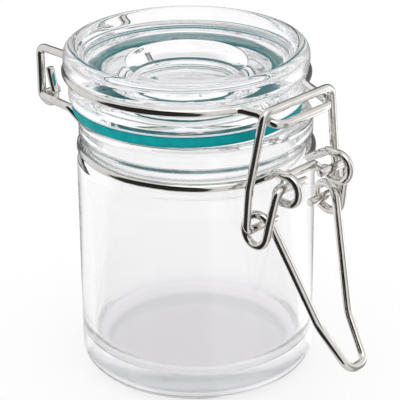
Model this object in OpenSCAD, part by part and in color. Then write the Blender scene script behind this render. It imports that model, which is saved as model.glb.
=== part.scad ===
// Small clip-top glass jar: a glass body, a glass lid with a rubber gasket, and four bent wires.
// Millimetres. The origin is the middle of the resting face, +Z is up, the clasp is towards -Y and
// the lid's hinge is towards +Y. The jar is the same on both sides of X = 0.

/* [Jar] */
// Outer diameter of the glass body
body_d = 50; // [48:0.5:50.5]
// Height of the mouth's rim, where the gasket sits
rim_z = 57; // [56.8:0.1:57.2]
// Thickness of the body's wall
wall = 2.8; // [2:0.1:3.2]
// Thickness of the glass under the hollow
floor_t = 5; // [3:0.5:8]
// Radius of the outer corner at the base
base_corner_r = 4; // [2:0.5:5]
// Radius of the inner corner at the base
inner_corner_r = 5; // [3:0.5:6]

/* [Lid] */
// How far the lid sits towards its hinge, within its play
lid_shift = 2.5; // [1:0.1:2.6]
// Outer diameter of the lid's rounded rim
lid_d = 51.2; // [50:0.1:51.4]
// Height of the top of the lid's rim
lid_top_z = 70.6; // [70.5:0.1:71.5]
// Diameter of the deep dimple in the lid's top
dimple_d = 25; // [20:0.2:28]
// Diameter of the plug that centres the lid in the mouth
plug_d = 36.4; // [34:0.2:36.4]

/* [Gasket] */
// Outer diameter of the gasket
gasket_d = 48; // [46:0.5:48.5]
// Thickness of the gasket
gasket_t = 2.4; // [2:0.1:2.4]

/* [Wire] */
// Thickness of the wires between their pins
wire_d = 1.76; // [1.4:0.04:1.76]
// Thickness of the pins, which are the wires' straight ends
pin_d = 1.8; // [1.5:0.02:1.8]
// Radius of the lever's two coils, to the middle of the wire
coil_r = 3.15; // [3.1:0.05:3.3]

/* [Hidden] */
$fn = 96;

tube_sides = 12;
small_step = 18;       // largest turn between two rings of a small bend, in degrees
large_step = 9;        // the same for the two wires that run around the glass
large_r = 10;          // a bend wider than this is a large one
pin_lap = 0.8;         // how far a pin runs onto its wire's tube

mouth_r = body_d / 2 - 4;
ring_gap = 0.18;        // between a wire's ring and the bottom of its groove
neck_groove_z = 49.3;
neck_groove_r = 22.75;
neck_ring_r = neck_groove_r + wire_d / 2 + ring_gap;
finish_r = 24.5;       // the glass between the groove and the rim
lid_seat_z = rim_z + gasket_t;
lid_groove_z = 65;
lid_groove_r = lid_d / 2 - 2;
lid_ring_r = lid_groove_r + wire_d / 2 + ring_gap;
lid_recess_z = lid_top_z - 3.8;

pivot = [-32.1, 50.8];     // the lever's pins, as [y, z]
pivot_x = 10.6;
eye = [-32.3, 50.4];       // the middle of the neck wire's front eyes
eye_r = 2.9;
eye_x = 7.8;
coil = [-27.2, 41.3];      // the middle of the lever's coils
coil_out_x = 12;
coil_in_x = 10.2;
bail_pin = [-27.2, 41.9];
bail_x = 14.1;
handle_bend = [-38.4, 21.1];
hinge = [35.8, 53.6];      // the neck wire's rear pins, which the lid swings on
hook_x = 9;
hinge_arm_x = 11.1;

function unit(v) = v / norm(v);
function xyz(p) = [p[0], p[1], p[2]];
function way(path, i) = unit(xyz(path[i + 1]) - xyz(path[i]));
function turned(a, b) = acos(max(-1, min(1, a * b)));
function reversed(list) = [for (i = [len(list) - 1 : -1 : 0]) list[i]];
function heading(a, b) = atan2(b[1] - a[1], b[0] - a[0]);

// Points along one corner [x, y, z, bend radius] of a path that comes in along a and leaves along b
function bend(p, a, b) =
    let (turn = turned(a, b), r = p[3], inward = unit(b - a * (a * b)),
         start = xyz(p) - a * r * tan(turn / 2), middle = start + inward * r,
         steps = ceil(turn / (r > large_r ? large_step : small_step)))
    [for (i = [0 : steps]) middle - inward * r * cos(turn * i / steps) + a * r * sin(turn * i / steps)];

// The middle line of a wire bent at its path's corners
function middle_line(path) =
    let (last = len(path) - 1)
    concat([xyz(path[0])],
           [for (i = [1 : last - 1]) each bend(path[i], way(path, i - 1), way(path, i))],
           [xyz(path[last])]);

// The same line without points that lie on top of each other
function spaced(line) =
    [for (i = [0 : len(line) - 1]) if (i == 0 || norm(line[i] - line[i - 1]) > 0.05) line[i]];

function tangent(line, i) =
    unit(line[min(i + 1, len(line) - 1)] - line[max(i - 1, 0)]);

// One normal for each point, each turned as little as it can be from the one before
function normals(line) =
    let (first = cross(tangent(line, 0), abs(tangent(line, 0)[2]) < 0.9 ? [0, 0, 1] : [1, 0, 0]))
    [for (i = 0, n = unit(first); i < len(line);
          i = i + 1, n = i < len(line) ? unit(n - tangent(line, i) * (n * tangent(line, i))) : n) n];

// A round tube swept along a line
module tube(line, d) {
    side = normals(line);
    count = len(line);
    points = [for (i = [0 : count - 1], k = [0 : tube_sides - 1])
        let (other = cross(tangent(line, i), side[i]), angle = 360 * k / tube_sides)
        line[i] + (side[i] * cos(angle) + other * sin(angle)) * d / 2];
    sides = [for (i = [0 : count - 2], k = [0 : tube_sides - 1])
        let (a = i * tube_sides + k, b = i * tube_sides + (k + 1) % tube_sides)
        each [[a, a + tube_sides, b], [b, a + tube_sides, b + tube_sides]]];
    start_cap = [for (k = [0 : tube_sides - 1]) k];
    end_cap = [for (k = [tube_sides - 1 : -1 : 0]) (count - 1) * tube_sides + k];
    polyhedron(points, concat(sides, [start_cap, end_cap]));
}

// A wire that ends in a straight pin along X at both ends
module pinned_wire(path, from_x, to_x) {
    tube(spaced(middle_line(path)), wire_d);
    for (s = [-1, 1])
        translate([s * from_x, path[0][1], path[0][2]])
            rotate([0, s * 90, 0])
                cylinder(d = pin_d, h = to_x - from_x);
}

// Both halves of a wire, from a function of the side s that runs from its end to its middle
function both_sides(left, right) = concat(left, reversed(right));

// Tangent corners of an arc around [0, cy], between two angles counted from +Y towards the side s
function ring_corners(s, r, cy, z, from, to, count) =
    let (half = (to - from) / count / 2)
    [for (k = [0 : count - 1])
        let (angle = from + half * (2 * k + 1))
        [s * r / cos(half) * sin(angle), cy + r / cos(half) * cos(angle), z, r]];

// The jar's glass body, from its resting face up to the rim
module jar() {
    r = body_d / 2;
    color("aliceblue", 0.4)
        rotate_extrude()
            difference() {
                jar_outline(r);
                jar_hollow(r - wall);
            }
}

module jar_outline(r) {
    shoulder_z = 46;
    polygon(concat(
        [[0, 0]],
        arc([r - base_corner_r, base_corner_r], base_corner_r, -90, 0, 8),
        [[r, shoulder_z]],
        arc([r - 1, shoulder_z], 1, 0, 60, 3),
        arc([neck_groove_r + 1.4, neck_groove_z], 1.4, 240, 120, 8),
        arc([finish_r - 1, neck_groove_z + 3.2], 1, 45, 0, 3),
        arc([finish_r - 1.6, rim_z - 1.6], 1.6, 0, 90, 6),
        [[0, rim_z]]));
}

module jar_hollow(r) {
    polygon(concat(
        [[0, floor_t]],
        arc([r - inner_corner_r, floor_t + inner_corner_r], inner_corner_r, -90, 0, 10),
        [[r, 42.5], [mouth_r + 0.3, 46.6], [mouth_r, 48.2], [mouth_r, rim_z - 0.8], [mouth_r + 0.8, rim_z], [mouth_r + 0.8, rim_z + 1], [0, rim_z + 1]]));
}

// Points of an arc around c, from one angle to another
function arc(c, r, from, to, steps) =
    [for (i = [0 : steps]) let (a = from + (to - from) * i / steps) c + r * [cos(a), sin(a)]];

// The glass lid: a rounded rim, a dished top with a deep dimple, and a plug below
module lid() {
    r = lid_d / 2;
    color("aliceblue", 0.5)
        translate([0, lid_shift, 0])
            rotate_extrude()
                difference() {
                    lid_outline(r);
                    lid_dish(r - 2.5);
                    lid_underside(dimple_d / 2);
                }
}

module lid_outline(r) {
    plug_z = lid_seat_z - 5.4;
    seat_r = r - 0.9;
    polygon(concat(
        [[0, plug_z]],
        arc([plug_d / 2 - 1.2, plug_z + 1.2], 1.2, -90, 0, 5),
        [[plug_d / 2, lid_seat_z]],
        arc([seat_r - 0.8, lid_seat_z + 0.8], 0.8, -90, 0, 4),
        [[seat_r, lid_groove_z - 2.2]],
        arc([lid_groove_r + 1.2, lid_groove_z], 1.2, 230, 120, 6),
        arc([r - 1.8, lid_top_z - 3.4], 1.8, -30, 0, 3),
        arc([r - 2, lid_top_z - 2], 2, 0, 90, 8),
        [[0, lid_top_z]]));
}

// The dished recess in the lid's top, r wide, and the deep dimple in the middle of it
module lid_dish(r) {
    dimple_r = dimple_d / 2;
    dimple_z = lid_recess_z - 3.8;
    polygon(concat(
        [[0, dimple_z]],
        arc([dimple_r - 3, dimple_z + 1.6], 1.6, -90, -20, 5),
        arc([dimple_r + 0.5, lid_recess_z - 0.5], 0.5, 170, 90, 3),
        arc([r - 6, lid_recess_z + 6.5], 6.5, -90, -48, 8),
        arc([r + 0.5, lid_top_z - 1], 1, 140, 90, 3),
        [[r + 0.5, lid_top_z + 1], [0, lid_top_z + 1]]));
}

// The hollow under the plug
module lid_underside(r) {
    plug_z = lid_seat_z - 5.4;
    polygon([[0, plug_z - 1], [r + 2, plug_z - 1], [r + 2, plug_z], [r, plug_z + 2], [0, plug_z + 2.4]]);
}

// The flat rubber ring between the rim and the lid, held by the lid's plug
module gasket() {
    color("teal")
        translate([0, lid_shift, 0])
            rotate_extrude()
                polygon(concat(
                    [[plug_d / 2 + 0.05, rim_z], [plug_d / 2 + 0.05, lid_seat_z]],
                    arc([gasket_d / 2 - 0.5, lid_seat_z - 0.5], 0.5, 90, 0, 4),
                    arc([gasket_d / 2 - 0.5, rim_z + 0.5], 0.5, 0, -90, 4)));
}

// The wire around the lid: two hooks at the hinge and a U-shaped catch in front
module lid_wire() {
    color("gainsboro")
        tube(spaced(middle_line(both_sides(lid_wire_half(-1), lid_wire_half(1)))), wire_d);
}

function lid_wire_half(s) =
    let (hook_r = 2.1, y = hinge[0], z = hinge[1], arm_z = 63.6, catch_x = 8.1, catch_z = 63.3)
    concat(
        [[s * hook_x, y - 0.7, z + 6, 0],
         [s * hook_x, y - hook_r - 0.1, z + 0.6, 2],
         [s * hook_x, y - hook_r + 0.1, z - hook_r, hook_r - 0.2],
         [s * hook_x, y + hook_r, z - hook_r, hook_r],
         [s * hook_x, y + hook_r, arm_z, 1.6],
         [s * hook_x, 28.6, arm_z, 2],
         [s * 10.5, 26.2, lid_groove_z, 1.6]],
        ring_corners(s, lid_ring_r, lid_shift, lid_groove_z, 32, 152, 3),
        [[s * 9.7, -21.2, lid_groove_z, 2.5],
         [s * (catch_x + 0.4), -25.2, 64.7, 3],
         [s * catch_x, -30, catch_z, 2.5]]);

// The wire around the neck: a pin at each end for the lid's hooks, two eyes in front for the lever
module neck_wire() {
    color("gainsboro")
        pinned_wire(both_sides(neck_wire_half(-1), neck_wire_half(1)), 6, hinge_arm_x - 1.6);
}

function neck_wire_half(s) =
    let (y = eye[0], z = eye[1], r = eye_r, inner_y = -29.4, bridge_z = 51.2)
    concat(
        [[s * (hinge_arm_x - 1.6 - pin_lap), hinge[0], hinge[1], 0],
         [s * hinge_arm_x, hinge[0], hinge[1], 1.2],
         [s * hinge_arm_x, 26.6, hinge[1] - 0.6, 2],
         [s * 10.2, 22.3, neck_groove_z, 1.8]],
        ring_corners(s, neck_ring_r, 0, neck_groove_z, 30, 152, 3),
        [[s * 8.9, -23.2, neck_groove_z + 0.2, 2],
         [s * eye_x, y + r, z + r, 2],
         [s * eye_x, y - r, z + r, r],
         [s * eye_x, y - r, z - r, r],
         [s * eye_x, inner_y, z - r, 1.6],
         [s * eye_x, inner_y, 49.6, 0.95],
         [s * 5.6, inner_y, 49.6, 0.9],
         [s * 4.4, -28.7, bridge_z, 0.9]]);

// The clasp's lever: pins in the neck wire's eyes, a coil on each side for the bail, and a handle
module lever() {
    color("gainsboro")
        pinned_wire(both_sides(lever_half(-1), lever_half(1)), 2.1, pivot_x - 1.8);
}

function lever_half(s) = concat(
    [[s * (pivot_x - 1.8 - pin_lap), pivot[0], pivot[1], 0],
     [s * pivot_x, pivot[0], pivot[1], 1.5]],
    coil_corners(s),
    [[s * 4.6, handle_bend[0], handle_bend[1], 8],
     [s * 2.5, -44.9, 12.8, 2.4]]);

// The four tangent corners of one coil, which also steps inwards past itself
function coil_corners(s) =
    let (from = heading(pivot, coil) - asin(coil_r / norm(coil - pivot)),
         to = heading(handle_bend, coil) + 180 + asin(coil_r / norm(coil - handle_bend)),
         quarter = (to - from) / 4)
    [for (k = [0 : 3])
        let (angle = from + (k + 0.5) * quarter - 90, reach = coil_r / cos(quarter / 2))
        [s * (coil_out_x + (coil_in_x - coil_out_x) * (k + 0.5) / 4),
         coil[0] + reach * cos(angle), coil[1] + reach * sin(angle), coil_r]];

// The bail: pins in the lever's coils, and a bar that lies over the lid wire's catch
module bail() {
    color("gainsboro")
        pinned_wire(both_sides(bail_half(-1), bail_half(1)), 5, bail_x - 1.8);
}

function bail_half(s) = [
    [s * (bail_x - 1.8 - pin_lap), bail_pin[0], bail_pin[1], 0],
    [s * bail_x, bail_pin[0], bail_pin[1], 1.5],
    [s * (bail_x - 1.1), -26.9, 50.5, 8],
    [s * 10, -28, 66.1, 2.2]];

jar();
lid();
gasket();
lid_wire();
neck_wire();
lever();
bail();
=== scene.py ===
"""Looks for the small clip-top glass jar: smooth moulded glass, a rubber gasket and polished bent wire."""

import math

import bmesh
import bpy
from mathutils import Matrix, Vector


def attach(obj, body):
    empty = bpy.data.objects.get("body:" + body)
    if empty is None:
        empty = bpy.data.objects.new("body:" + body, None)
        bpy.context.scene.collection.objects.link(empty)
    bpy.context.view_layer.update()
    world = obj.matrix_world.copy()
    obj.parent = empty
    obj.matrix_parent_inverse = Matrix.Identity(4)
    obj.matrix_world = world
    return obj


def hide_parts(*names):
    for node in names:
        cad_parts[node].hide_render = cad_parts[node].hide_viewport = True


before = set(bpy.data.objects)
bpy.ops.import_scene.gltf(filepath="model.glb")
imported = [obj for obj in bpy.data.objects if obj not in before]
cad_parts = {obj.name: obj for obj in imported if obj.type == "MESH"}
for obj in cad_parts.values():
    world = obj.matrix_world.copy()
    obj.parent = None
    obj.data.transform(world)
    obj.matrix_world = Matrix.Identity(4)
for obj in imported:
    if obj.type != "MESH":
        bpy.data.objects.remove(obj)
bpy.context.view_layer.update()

MM = 0.001

# ---------------------------------------------------------------- sizes shared with the CAD part, in mm
WIRE_R = 0.88
PIVOT = (-32.1, 50.8)           # the lever's pins, as (y, z)
PIVOT_X = 10.6
EYE = (-32.3, 50.4)             # the middle of the neck wire's front eyes
EYE_R = 2.9
EYE_X = 7.8
COIL = (-27.2, 41.3)            # the middle of the lever's coils
COIL_R = 3.15
COIL_OUT_X, COIL_IN_X = 12.0, 10.2
BAIL_PIN = (-27.2, 41.9)
BAIL_X = 14.1
HANDLE_BEND = (-38.4, 21.1)
HINGE = (35.8, 53.6)            # the neck wire's rear pins, which the lid swings on
HOOK_X, HINGE_ARM_X = 9.0, 11.1
BODY_R, RIM_Z, WALL, FLOOR_T = 25.0, 57.0, 2.8, 5.0
BASE_CORNER_R, INNER_CORNER_R = 4.0, 5.0
SHOULDER_Z = 46.0
MOUTH_R = BODY_R - 4
NECK_Z, NECK_R, RING_GAP = 49.3, 22.75, 0.18
NECK_RING_R = NECK_R + WIRE_R + RING_GAP
FINISH_R = 24.5
LID_SHIFT, LID_R, LID_TOP = 2.5, 25.6, 70.6
DIMPLE_R, PLUG_R = 12.5, 18.2
SEAT_Z = 59.4
PLUG_Z = SEAT_Z - 5.4
LID_GROOVE_Z = 65.0
LID_GROOVE_R = LID_R - 2
LID_RING_R = LID_GROOVE_R + WIRE_R + RING_GAP
RECESS_Z = LID_TOP - 3.8
DIMPLE_Z = RECESS_Z - 3.8
GASKET_R = 24.0

# ---------------------------------------------------------------- fineness of the meshes, in mm and degrees
GLASS_SIDES, WIRE_SIDES = 192, 28
WIRE_STEP = 1.6                 # the longest straight stretch between two rings of a wire
LARGE_BEND = 15                 # a bend of a larger radius gets the finer turn
FINE_TURN, COARSE_TURN = 3, 6
CUT_EDGE = 0.22                 # how far a wire's cut ends are rounded
AIR = 0.02                      # between the gasket and the glass on both its sides


# ---------------------------------------------------------------- meshes
def new_object(name, verts, faces, uvs):
    """A smooth mesh object from points in mm and faces, with one (u, v) for each corner of each face."""
    mesh = bpy.data.meshes.new(name)
    mesh.from_pydata([Vector(v) * MM for v in verts], [], faces)
    layer = mesh.uv_layers.new(name="UVMap")
    layer.data.foreach_set("uv", [c for face in uvs for uv in face for c in uv])
    mesh.validate()
    work = bmesh.new()
    work.from_mesh(mesh)
    bmesh.ops.recalc_face_normals(work, faces=work.faces)
    work.to_mesh(mesh)
    work.free()
    mesh.polygons.foreach_set("use_smooth", [True] * len(mesh.polygons))
    mesh.update()
    obj = bpy.data.objects.new(name, mesh)
    bpy.context.scene.collection.objects.link(obj)
    return obj


def unit(v):
    return v / v.length


def bend(p, r, a, b):
    """Points round one corner p of bend radius r, between directions a and b."""
    turn = math.acos(max(-1.0, min(1.0, a.dot(b))))
    inward = unit(b - a * a.dot(b))
    start = p - a * r * math.tan(turn / 2)
    middle = start + inward * r
    step = FINE_TURN if r > LARGE_BEND else COARSE_TURN
    steps = max(3, math.ceil(math.degrees(turn) / step))
    angles = [turn * i / steps for i in range(steps + 1)]
    return [middle - inward * r * math.cos(angle) + a * r * math.sin(angle) for angle in angles]


def middle_line(path):
    """The middle line of a wire that is bent at the corners (x, y, z, radius) of path."""
    spots = [Vector(p[:3]) for p in path]
    line = [spots[0]]
    for i in range(1, len(spots) - 1):
        a, b = unit(spots[i] - spots[i - 1]), unit(spots[i + 1] - spots[i])
        line += bend(spots[i], path[i][3], a, b)
    line.append(spots[-1])
    return line


def respaced(line, longest):
    """The same line with no two points on top of each other and no stretch longer than longest."""
    out = [line[0]]
    for p in line[1:]:
        gap = (p - out[-1]).length
        if gap < 0.02:
            continue
        cuts = math.ceil(gap / longest)
        start = out[-1]
        out += [start.lerp(p, (k + 1) / cuts) for k in range(cuts)]
    return out


def cut_end(p, way, side, length):
    """The stations of a wire's rounded cut end, inwards. side is 1 at its start and -1 at its finish."""
    out = []
    for a in (0.0, math.pi / 6, math.pi / 3):
        depth = CUT_EDGE * (1 - math.cos(a))
        size = 1 - CUT_EDGE / WIRE_R * (1 - math.sin(a))
        out.append((p + way * depth * side, way, size, length))
    out.append((p + way * CUT_EDGE * side, way, 1.0, length + CUT_EDGE * side))
    return out


def wire_stations(line):
    """Stations (point, direction, share of the full radius, length so far) along a wire."""
    last = len(line) - 1
    stations, total = [], 0.0
    for i, p in enumerate(line):
        if i:
            total += (p - line[i - 1]).length
        way = unit(line[min(i + 1, last)] - line[max(i - 1, 0)])
        stations.append((p, way, 1.0, total))
    head = cut_end(*stations[0][:2], 1, 0.0)
    tail = cut_end(*stations[-1][:2], -1, total)
    return head + stations[1:-1] + tail[::-1]


def wire(name, path):
    """A round wire swept along a bent path."""
    sides, uv_length = WIRE_SIDES, 5.34
    circle = [2 * math.pi * k / sides for k in range(sides)]
    stations = wire_stations(respaced(middle_line(path), WIRE_STEP))
    first = stations[0][1]
    side = first.cross(Vector((0, 0, 1)) if abs(first.z) < 0.9 else Vector((1, 0, 0)))
    verts = []
    for p, way, size, _ in stations:
        side = unit(side - way * side.dot(way))
        other = way.cross(side)
        verts += [p + (side * math.cos(a) + other * math.sin(a)) * WIRE_R * size for a in circle]
    faces, uvs = [], []
    for i in range(len(stations) - 1):
        v0, v1 = stations[i][3] / uv_length, stations[i + 1][3] / uv_length
        for k in range(sides):
            n = (k + 1) % sides
            faces.append((i * sides + k, i * sides + n, (i + 1) * sides + n, (i + 1) * sides + k))
            u0, u1 = k / sides, (k + 1) / sides
            uvs.append(((u0, v0), (u1, v0), (u1, v1), (u0, v1)))
    faces.append(tuple(range(sides - 1, -1, -1)))
    faces.append(tuple((len(stations) - 1) * sides + k for k in range(sides)))
    cap = [(0.5 + 0.1 * math.cos(a), 0.1 * math.sin(a)) for a in circle]
    uvs += [tuple(reversed(cap)), tuple(cap)]
    return new_object(name, verts, faces, uvs)


def arc(cx, cz, r, start, end, steps):
    """Points (radius, height) round a centre, between two angles in degrees."""
    angles = [math.radians(start + (end - start) * i / steps) for i in range(steps + 1)]
    return [(cx + r * math.cos(a), cz + r * math.sin(a)) for a in angles]


def refined(profile, longest):
    """A profile with its long stretches cut, so that the surface can carry small waves."""
    out = [profile[0]]
    for r, z in profile[1:]:
        r0, z0 = out[-1]
        gap = math.hypot(r - r0, z - z0)
        if gap < 0.004:
            continue
        cuts = math.ceil(gap / longest)
        out += [(r0 + (r - r0) * (k + 1) / cuts, z0 + (z - z0) * (k + 1) / cuts) for k in range(cuts)]
    return out


def lathe(name, profile, wave, cy=0.0, longest=1.5):
    """A closed solid of revolution about the Z line through (0, cy). The profile runs from axis to axis."""
    sides, uv_length, uv_turns = GLASS_SIDES, 20, 8
    pts = refined(profile, longest)
    verts, rows = [], []
    for r, z in pts:
        if r < 1e-6:
            rows.append([len(verts)])
            verts.append((0.0, cy, z))
            continue
        row = []
        for k in range(sides):
            a = 2 * math.pi * k / sides
            dr = wave(a, r, z)
            row.append(len(verts))
            verts.append(((r + dr) * math.sin(a), cy + (r + dr) * math.cos(a), z))
        rows.append(row)
    length = [0.0]
    for (r0, z0), (r1, z1) in zip(pts, pts[1:]):
        length.append(length[-1] + math.hypot(r1 - r0, z1 - z0))
    faces, uvs = [], []
    for i in range(len(rows) - 1):
        a, b = rows[i], rows[i + 1]
        v0, v1 = length[i] / uv_length, length[i + 1] / uv_length
        for k in range(sides):
            n = (k + 1) % sides
            u0, u1 = uv_turns * k / sides, uv_turns * (k + 1) / sides
            if len(a) == 1:
                faces.append((a[0], b[n], b[k]))
                uvs.append((((u0 + u1) / 2, v0), (u1, v1), (u0, v1)))
            elif len(b) == 1:
                faces.append((a[k], a[n], b[0]))
                uvs.append(((u0, v0), (u1, v0), ((u0 + u1) / 2, v1)))
            else:
                faces.append((a[k], a[n], b[n], b[k]))
                uvs.append(((u0, v0), (u1, v0), (u1, v1), (u0, v1)))
    return new_object(name, verts, faces, uvs)


def ring_lathe(name, profile, cy=0.0, longest=0.6):
    """A closed ring of revolution about the Z line through (0, cy). The profile is a loop."""
    sides, uv_turns = GLASS_SIDES, 12
    pts = refined(profile + [profile[0]], longest)[:-1]
    circle = [2 * math.pi * k / sides for k in range(sides)]
    verts = [(r * math.sin(a), cy + r * math.cos(a), z) for r, z in pts for a in circle]
    faces, uvs = [], []
    rows = len(pts)
    for i in range(rows):
        j = (i + 1) % rows
        for k in range(sides):
            n = (k + 1) % sides
            faces.append((i * sides + k, i * sides + n, j * sides + n, j * sides + k))
            u0, u1 = uv_turns * k / sides, uv_turns * (k + 1) / sides
            uvs.append(((u0, i / rows), (u1, i / rows), (u1, (i + 1) / rows), (u0, (i + 1) / rows)))
    return new_object(name, verts, faces, uvs)


# ---------------------------------------------------------------- glass and rubber
def glass_wave(phase):
    """Slow waves of pressed glass, as a change of radius that only goes inwards."""
    size = 0.03
    centre_r = 6.0              # the waves fade out inside this radius

    def wave(a, r, z):
        three = math.sin(3 * a + phase + 0.11 * z)
        five = 0.6 * math.sin(5 * a - 0.17 * z + 2 * phase)
        two = 0.5 * math.sin(2 * a + 0.31 * z - phase)
        nine = 0.35 * math.sin(9 * a + 0.4 * z)
        return min(1.0, r / centre_r) * size * ((three + five + two + nine) / 2.45 - 1)
    return wave


def jar_profile():
    r, inside = BODY_R, BODY_R - WALL
    base = [(0, 0)] + arc(r - BASE_CORNER_R, BASE_CORNER_R, BASE_CORNER_R, -90, 0, 14)
    neck = ([(r, SHOULDER_Z)] + arc(r - 1, SHOULDER_Z, 1, 0, 60, 6)
            + arc(NECK_R + 1.4, NECK_Z, 1.4, 240, 120, 12) + arc(FINISH_R - 1, NECK_Z + 3.2, 1, 45, 0, 5))
    rim = arc(FINISH_R - 1.6, RIM_Z - 1.6, 1.6, 0, 90, 10)
    mouth = [(MOUTH_R + 0.8, RIM_Z), (MOUTH_R, RIM_Z - 0.8), (MOUTH_R, 48.2), (MOUTH_R + 0.3, 46.6)]
    hollow = ([(inside, 42.5)]
              + arc(inside - INNER_CORNER_R, FLOOR_T + INNER_CORNER_R, INNER_CORNER_R, 0, -90, 16)
              + [(0, FLOOR_T)])
    return base + neck + rim + mouth + hollow


def lid_profile():
    r, dish = LID_R, LID_R - 2.5
    under = [(0, PLUG_Z + 2.4), (DIMPLE_R, PLUG_Z + 2), (DIMPLE_R + 2, PLUG_Z)]
    plug = arc(PLUG_R - 1.2, PLUG_Z + 1.2, 1.2, -90, 0, 8) + [(PLUG_R, SEAT_Z)]
    skirt = arc(r - 1.7, SEAT_Z + 0.8, 0.8, -90, 0, 6) + [(r - 0.9, LID_GROOVE_Z - 2.2)]
    groove = arc(LID_GROOVE_R + 1.2, LID_GROOVE_Z, 1.2, 230, 120, 10)
    bead = (arc(r - 1.8, LID_TOP - 3.4, 1.8, -30, 0, 5) + arc(r - 2, LID_TOP - 2, 2, 0, 90, 14)
            + arc(dish + 0.5, LID_TOP - 1, 1, 90, 140, 6))
    recess = arc(dish - 6, RECESS_Z + 6.5, 6.5, -48, -90, 14)
    dimple = (arc(DIMPLE_R + 0.5, RECESS_Z - 0.5, 0.5, 90, 170, 6)
              + arc(DIMPLE_R - 3, DIMPLE_Z + 1.6, 1.6, -20, -90, 8) + [(0, DIMPLE_Z)])
    return under + plug + skirt + groove + bead + recess + dimple


def gasket_profile():
    inner_r, corner_r = PLUG_R + 0.05, GASKET_R - 0.5
    return ([(inner_r, RIM_Z + AIR), (inner_r, SEAT_Z - AIR)]
            + arc(corner_r, SEAT_Z - AIR - 0.5, 0.5, 90, 0, 6)
            + arc(corner_r, RIM_Z + AIR + 0.5, 0.5, 0, -90, 6))


jar = lathe("jar_glass_body", jar_profile(), glass_wave(0.4))
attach(jar, "jar")
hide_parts("jar")

lid = lathe("lid_glass_body", lid_profile(), glass_wave(1.9), cy=LID_SHIFT, longest=1.0)
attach(lid, "lid")
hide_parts("lid")

gasket = ring_lathe("gasket_ring", gasket_profile(), cy=LID_SHIFT)
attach(gasket, "lid")
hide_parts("gasket")


# ---------------------------------------------------------------- wires, each as its half on side s
def ring_corners(s, r, cy, z, start, end, count):
    """Tangent corners of an arc around (0, cy), between two angles counted from +Y towards the side s."""
    half = math.radians((end - start) / count / 2)
    out = []
    for k in range(count):
        a = math.radians(start) + half * (2 * k + 1)
        reach = r / math.cos(half)
        out.append((s * reach * math.sin(a), cy + reach * math.cos(a), z, r))
    return out


def lid_wire_half(s):
    y, z = HINGE
    hook_r, arm_z, catch_x, catch_z = 2.1, 63.6, 8.1, 63.3
    hook = [(s * HOOK_X, y - 0.7, z + 6, 0),
            (s * HOOK_X, y - hook_r - 0.1, z + 0.6, 2),
            (s * HOOK_X, y - hook_r + 0.1, z - hook_r, hook_r - 0.2),
            (s * HOOK_X, y + hook_r, z - hook_r, hook_r),
            (s * HOOK_X, y + hook_r, arm_z, 1.6),
            (s * HOOK_X, 28.6, arm_z, 2),
            (s * 10.5, 26.2, LID_GROOVE_Z, 1.6)]
    catch = [(s * 9.7, -21.2, LID_GROOVE_Z, 2.5),
             (s * (catch_x + 0.4), -25.2, 64.7, 3),
             (s * catch_x, -30, catch_z, 2.5)]
    return hook + ring_corners(s, LID_RING_R, LID_SHIFT, LID_GROOVE_Z, 32, 152, 3) + catch


def neck_wire_half(s):
    y, z = EYE
    r, inner_y = EYE_R, -29.4
    pin = [(s * 6, HINGE[0], HINGE[1], 0),
           (s * HINGE_ARM_X, HINGE[0], HINGE[1], 1.2),
           (s * HINGE_ARM_X, 26.6, HINGE[1] - 0.6, 2),
           (s * 10.2, 22.3, NECK_Z, 1.8)]
    eye = [(s * 8.9, -23.2, NECK_Z + 0.2, 2),
           (s * EYE_X, y + r, z + r, 2),
           (s * EYE_X, y - r, z + r, r),
           (s * EYE_X, y - r, z - r, r),
           (s * EYE_X, inner_y, z - r, 1.6),
           (s * EYE_X, inner_y, 49.6, 0.95),
           (s * 5.6, inner_y, 49.6, 0.9),
           (s * 4.4, -28.7, 51.2, 0.9)]
    return pin + ring_corners(s, NECK_RING_R, 0, NECK_Z, 30, 152, 3) + eye


def heading(a, b):
    return math.atan2(b[1] - a[1], b[0] - a[0])


def lever_half(s):
    start = heading(PIVOT, COIL) - math.asin(COIL_R / math.dist(COIL, PIVOT))
    end = heading(HANDLE_BEND, COIL) + math.pi + math.asin(COIL_R / math.dist(COIL, HANDLE_BEND))
    quarter = (end - start) / 4
    reach = COIL_R / math.cos(quarter / 2)
    coil = []
    for k in range(4):
        a = start + (k + 0.5) * quarter - math.pi / 2
        x = COIL_OUT_X + (COIL_IN_X - COIL_OUT_X) * (k + 0.5) / 4
        coil.append((s * x, COIL[0] + reach * math.cos(a), COIL[1] + reach * math.sin(a), COIL_R))
    pin = [(s * 2.1, PIVOT[0], PIVOT[1], 0), (s * PIVOT_X, PIVOT[0], PIVOT[1], 1.5)]
    handle = [(s * 4.6, HANDLE_BEND[0], HANDLE_BEND[1], 8), (s * 2.5, -44.9, 12.8, 2.4)]
    return pin + coil + handle


def bail_half(s):
    return [(s * 5, BAIL_PIN[0], BAIL_PIN[1], 0), (s * BAIL_X, BAIL_PIN[0], BAIL_PIN[1], 1.5),
            (s * (BAIL_X - 1.1), -26.9, 50.5, 8), (s * 10, -28, 66.1, 2.2)]


WIRES = []
for node, half, body in (("lid_wire", lid_wire_half, "lid"), ("neck_wire", neck_wire_half, "jar"),
                         ("lever", lever_half, "lever"), ("bail", bail_half, "bail")):
    obj = wire(node + "_round", half(-1) + list(reversed(half(1))))
    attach(obj, body)
    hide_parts(node)
    WIRES.append(obj)


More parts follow.
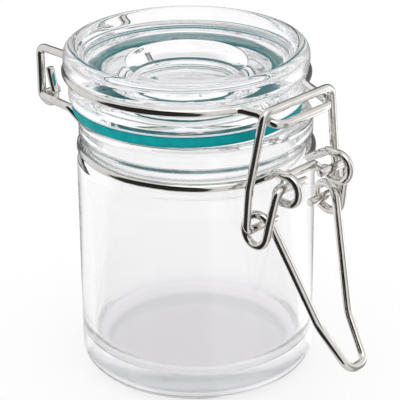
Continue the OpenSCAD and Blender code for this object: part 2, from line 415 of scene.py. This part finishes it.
# ---------------------------------------------------------------- materials
class Graph:
    """The nodes of one material or of the world, with a short call for each kind of node used here."""

    def __init__(self, owner):
        owner.use_nodes = True
        self.nodes, self.links = owner.node_tree.nodes, owner.node_tree.links

    def feed(self, socket, value):
        """Links a socket to another one, or sets it to a plain value."""
        if hasattr(value, "node"):
            self.links.new(value, socket)
        else:
            socket.default_value = value

    def place(self, output="Object", scale=(1, 1, 1)):
        """Texture coordinates, stretched by scale."""
        coords = self.nodes.new("ShaderNodeTexCoord")
        mapping = self.nodes.new("ShaderNodeMapping")
        mapping.inputs["Scale"].default_value = scale
        self.links.new(coords.outputs[output], mapping.inputs["Vector"])
        return mapping.outputs["Vector"]

    def noise(self, place, scale, detail, rough=0.5):
        node = self.nodes.new("ShaderNodeTexNoise")
        node.inputs["Scale"].default_value = scale
        node.inputs["Detail"].default_value = detail
        node.inputs["Roughness"].default_value = rough
        self.links.new(place, node.inputs["Vector"])
        return node.outputs["Fac"]

    def ramp(self, value, first, last):
        """A colour between the stops (position, colour) first and last."""
        node = self.nodes.new("ShaderNodeValToRGB")
        for element, (position, colour) in zip(node.color_ramp.elements, (first, last)):
            element.position = position
            element.color = (*colour, 1)
        self.links.new(value, node.inputs["Fac"])
        return node.outputs["Color"]

    def spread(self, value, low, high, start=0.0, end=1.0, kind="LINEAR"):
        """value, turned from the range start to end into the range low to high."""
        node = self.nodes.new("ShaderNodeMapRange")
        node.interpolation_type = kind
        for name, number in (("From Min", start), ("From Max", end), ("To Min", low), ("To Max", high)):
            node.inputs[name].default_value = number
        self.links.new(value, node.inputs["Value"])
        return node.outputs["Result"]

    def calculate(self, operation, a, b):
        node = self.nodes.new("ShaderNodeMath")
        node.operation = operation
        self.feed(node.inputs[0], a)
        self.feed(node.inputs[1], b)
        return node.outputs[0]

    def blend(self, amount, a, b):
        """a where amount is 0, b where it is 1."""
        node = self.nodes.new("ShaderNodeMix")
        self.links.new(amount, node.inputs["Factor"])
        self.feed(node.inputs["A"], a)
        self.feed(node.inputs["B"], b)
        return node.outputs["Result"]

    def bump(self, height, strength, distance):
        node = self.nodes.new("ShaderNodeBump")
        node.inputs["Strength"].default_value = strength
        node.inputs["Distance"].default_value = distance
        self.links.new(height, node.inputs["Height"])
        return node.outputs["Normal"]


def material(name):
    """A new material, its graph and the inputs of its Principled shader."""
    made = bpy.data.materials.new(name)
    graph = Graph(made)
    return made, graph, graph.nodes["Principled BSDF"].inputs


def glass(name, tint, smear_to, foot_shade_tint=None, haze=0.0):
    """Clear moulded glass with faint smears and ripples. Its foot may be cloudy and may take a darker tint
    towards the floor, which is painted shade.
    """
    made, graph, shader = material(name)
    shader["Base Color"].default_value = (*tint, 1)
    shader["Transmission Weight"].default_value = 1.0
    shader["IOR"].default_value = 1.5
    place = graph.place()
    rough = graph.spread(graph.noise(place, 90, 2), 0.0, smear_to)
    if foot_shade_tint:
        foot, clear = 0.002, 0.009          # heights in metres, between which the foot fades into clear glass
        split = graph.nodes.new("ShaderNodeSeparateXYZ")
        graph.links.new(place, split.inputs[0])
        z = split.outputs["Z"]
        rough = graph.calculate("ADD", graph.spread(z, haze, 0.0, foot, clear, "SMOOTHSTEP"), rough)
        # Painted shade: the glass tint darkens from the clear height down to the foot.
        share = graph.spread(z, 0.0, 1.0, foot, clear)
        graph.feed(shader["Base Color"], graph.ramp(share, (0, foot_shade_tint), (1, tint)))
    graph.feed(shader["Roughness"], rough)
    graph.feed(shader["Normal"], graph.bump(graph.noise(place, 260, 2), 0.05, 0.0004))
    return made


def rubber(name):
    """Matt teal rubber with a fine grain."""
    made, graph, shader = material(name)
    place = graph.place()
    mottle = graph.noise(place, 420, 4, 0.6)
    graph.feed(shader["Base Color"], graph.ramp(mottle, (0.3, (0.0, 0.27, 0.285)), (0.7, (0.0, 0.36, 0.375))))
    graph.feed(shader["Roughness"], graph.spread(graph.noise(place, 900, 2), 0.38, 0.58))
    graph.feed(shader["Normal"], graph.bump(graph.noise(place, 4200, 3, 0.6), 0.35, 0.00006))
    shader["Specular IOR Level"].default_value = 0.12
    return made


def metal(name):
    """Polished plated wire, with faint draw marks along it."""
    made, graph, shader = material(name)
    drawn = graph.noise(graph.place("UV", (26, 0.9, 1)), 1.6, 3, 0.55)
    clouds = graph.noise(graph.place(), 500, 3)
    tone = graph.ramp(clouds, (0.3, (0.71, 0.69, 0.66)), (0.7, (0.81, 0.79, 0.765)))
    graph.feed(shader["Base Color"], tone)
    shader["Metallic"].default_value = 1.0
    graph.feed(shader["Roughness"], graph.spread(drawn, 0.02, 0.11))
    graph.feed(shader["Normal"], graph.bump(drawn, 0.25, 0.00004))
    return made


def wear(obj, made):
    obj.data.materials.clear()
    obj.data.materials.append(made)


wear(jar, glass("jar_glass", (0.975, 0.97, 0.976), 0.035, foot_shade_tint=(0.86, 0.845, 0.865), haze=0.11))
wear(lid, glass("lid_glass", (0.97, 0.967, 0.98), 0.06))
wear(gasket, rubber("gasket_rubber"))
polished = metal("polished_wire")
for obj in WIRES:
    wear(obj, polished)


# ---------------------------------------------------------------- floor, light and camera
# Soft round screens, each as (azimuth, elevation, half width, soft edge, share of the light it takes away).
# A negative share is a bright panel. Mirror reflections see the strong screens, rays through glass the faint.
WORLD_SCREENS = [(-84, 4, 38, 8, 0.985), (134, 4, 34, 12, 0.85), (60, 10, 12, 6, -0.7), (18, 8, 12, 8, 0.6),
                 (-46, 62, 16, 10, -0.9)]
FAINT_SCREENS = [(-110, 20, 20, 16, 0.45), (40, 14, 14, 12, 0.5), (134, 24, 10, 12, 0.3)]
FLOOR_SCREENS = [(-84, 0, 44, 8, 0.985), (134, 0, 40, 14, 0.8), (60, 0, 11, 6, -0.9), (18, 0, 12, 8, 0.55)]
MIRROR_LEVEL = 0.78             # how bright mirror reflections find it, beside all other rays
STUDIO_POWER = 1.1
FLOOR_RADIUS, FLOOR_SIDES, FLOOR_DROP = 3.0, 96, 0.00002
FLOOR_GLOW, FLOOR_SHADE = 0.74, 0.26
CAMERA_AZ, CAMERA_EL, CAMERA_ROLL = -46, 24.44, -0.49
CAMERA_DISTANCE, CAMERA_TARGET = 0.39957, Vector((0, 0, 0.03579))
MAX_BOUNCES, GLASS_BOUNCES = 24, 20


def direction(az, el):
    """Unit vector from the jar towards a view azimuth and elevation."""
    a, e = math.radians(az), math.radians(el)
    return Vector((math.sin(a) * math.cos(e), -math.cos(a) * math.cos(e), math.sin(e)))


def screened(graph, vector, screens):
    """How much light is left along a direction, past the screens."""
    level = None
    for az, el, width, soft, depth in screens:
        dot = graph.nodes.new("ShaderNodeVectorMath")
        dot.operation = "DOT_PRODUCT"
        dot.inputs[1].default_value = direction(az, el)
        graph.links.new(vector, dot.inputs[0])
        outside, inside = math.cos(math.radians(width + soft)), math.cos(math.radians(width))
        edge = graph.spread(dot.outputs["Value"], 1.0, 1.0 - depth, outside, inside, "SMOOTHSTEP")
        level = edge if level is None else graph.calculate("MULTIPLY", level, edge)
    return level


def ray_level(graph, vector, strong, faint):
    """The light a ray finds: mirror reflections see the strong screens, rays through glass the faint."""
    path = graph.nodes.new("ShaderNodeLightPath").outputs
    mirrored = graph.calculate("MULTIPLY", path["Is Glossy Ray"], path["Is Reflection Ray"])
    through = screened(graph, vector, faint) if faint else 1.0
    others = graph.blend(path["Is Transmission Ray"], 1.0, through)
    reflected = graph.calculate("MULTIPLY", screened(graph, vector, strong), MIRROR_LEVEL)
    return graph.blend(mirrored, others, reflected)


def floor_disc():
    """A pale floor that gives off part of its own light, so that shadows on it stay faint."""
    mesh = bpy.data.meshes.new("floor")
    circle = [2 * math.pi * k / FLOOR_SIDES for k in range(FLOOR_SIDES)]
    ring = [Vector((FLOOR_RADIUS * math.cos(a), FLOOR_RADIUS * math.sin(a), -FLOOR_DROP)) for a in circle]
    mesh.from_pydata(ring, [], [tuple(range(FLOOR_SIDES))])
    obj = bpy.data.objects.new("floor", mesh)
    bpy.context.scene.collection.objects.link(obj)
    made, graph, shader = material("pale_floor")
    coords = graph.nodes.new("ShaderNodeTexCoord")
    outward = graph.nodes.new("ShaderNodeVectorMath")
    outward.operation = "NORMALIZE"
    graph.links.new(coords.outputs["Object"], outward.inputs[0])
    level = ray_level(graph, outward.outputs["Vector"], FLOOR_SCREENS, [])
    shader["Emission Color"].default_value = (1, 1, 1, 1)
    graph.feed(shader["Emission Strength"], graph.calculate("MULTIPLY", level, FLOOR_GLOW))
    pale = graph.ramp(graph.noise(graph.place(), 3, 2), (0, (0.94, 0.94, 0.94)), (1, (0.955, 0.955, 0.955)))
    tone = graph.nodes.new("ShaderNodeVectorMath")
    tone.operation = "SCALE"
    graph.links.new(pale, tone.inputs[0])
    graph.feed(tone.inputs["Scale"], graph.calculate("MULTIPLY", level, FLOOR_SHADE))
    graph.feed(shader["Base Color"], tone.outputs["Vector"])
    shader["Roughness"].default_value = 0.6
    shader["Specular IOR Level"].default_value = 0.2
    mesh.materials.append(made)


def studio():
    """White surroundings. The camera itself sees them plain white, without the screens."""
    world = bpy.data.worlds.new("studio")
    bpy.context.scene.world = world
    graph = Graph(world)
    coords = graph.nodes.new("ShaderNodeTexCoord")
    lit = graph.nodes["Background"]
    lit.inputs["Color"].default_value = (1, 1, 1, 1)
    level = ray_level(graph, coords.outputs["Generated"], WORLD_SCREENS, FAINT_SCREENS)
    graph.feed(lit.inputs["Strength"], graph.calculate("MULTIPLY", level, STUDIO_POWER))
    plain = graph.nodes.new("ShaderNodeBackground")
    plain.inputs["Color"].default_value = (1, 1, 1, 1)
    path = graph.nodes.new("ShaderNodeLightPath")
    mix = graph.nodes.new("ShaderNodeMixShader")
    graph.links.new(path.outputs["Is Camera Ray"], mix.inputs["Fac"])
    graph.links.new(lit.outputs[0], mix.inputs[1])
    graph.links.new(plain.outputs[0], mix.inputs[2])
    graph.links.new(mix.outputs[0], graph.nodes["World Output"].inputs["Surface"])


def camera():
    data = bpy.data.cameras.new("camera")
    data.sensor_width = 36
    data.lens = 169.12
    data.shift_x = 0.0088
    data.clip_start, data.clip_end = 0.01, 20
    obj = bpy.data.objects.new("camera", data)
    bpy.context.scene.collection.objects.link(obj)
    back = direction(CAMERA_AZ, CAMERA_EL)
    obj.location = CAMERA_TARGET + back * CAMERA_DISTANCE
    obj.rotation_mode = "QUATERNION"
    roll = Matrix.Rotation(math.radians(CAMERA_ROLL), 3, "Z").to_quaternion()
    obj.rotation_quaternion = (-back).to_track_quat("-Z", "Y") @ roll
    bpy.context.scene.camera = obj


floor_disc()
studio()
camera()
scene = bpy.context.scene
scene.view_settings.view_transform = "Standard"
scene.cycles.max_bounces = MAX_BOUNCES
scene.cycles.glossy_bounces = GLASS_BOUNCES
scene.cycles.transmission_bounces = GLASS_BOUNCES
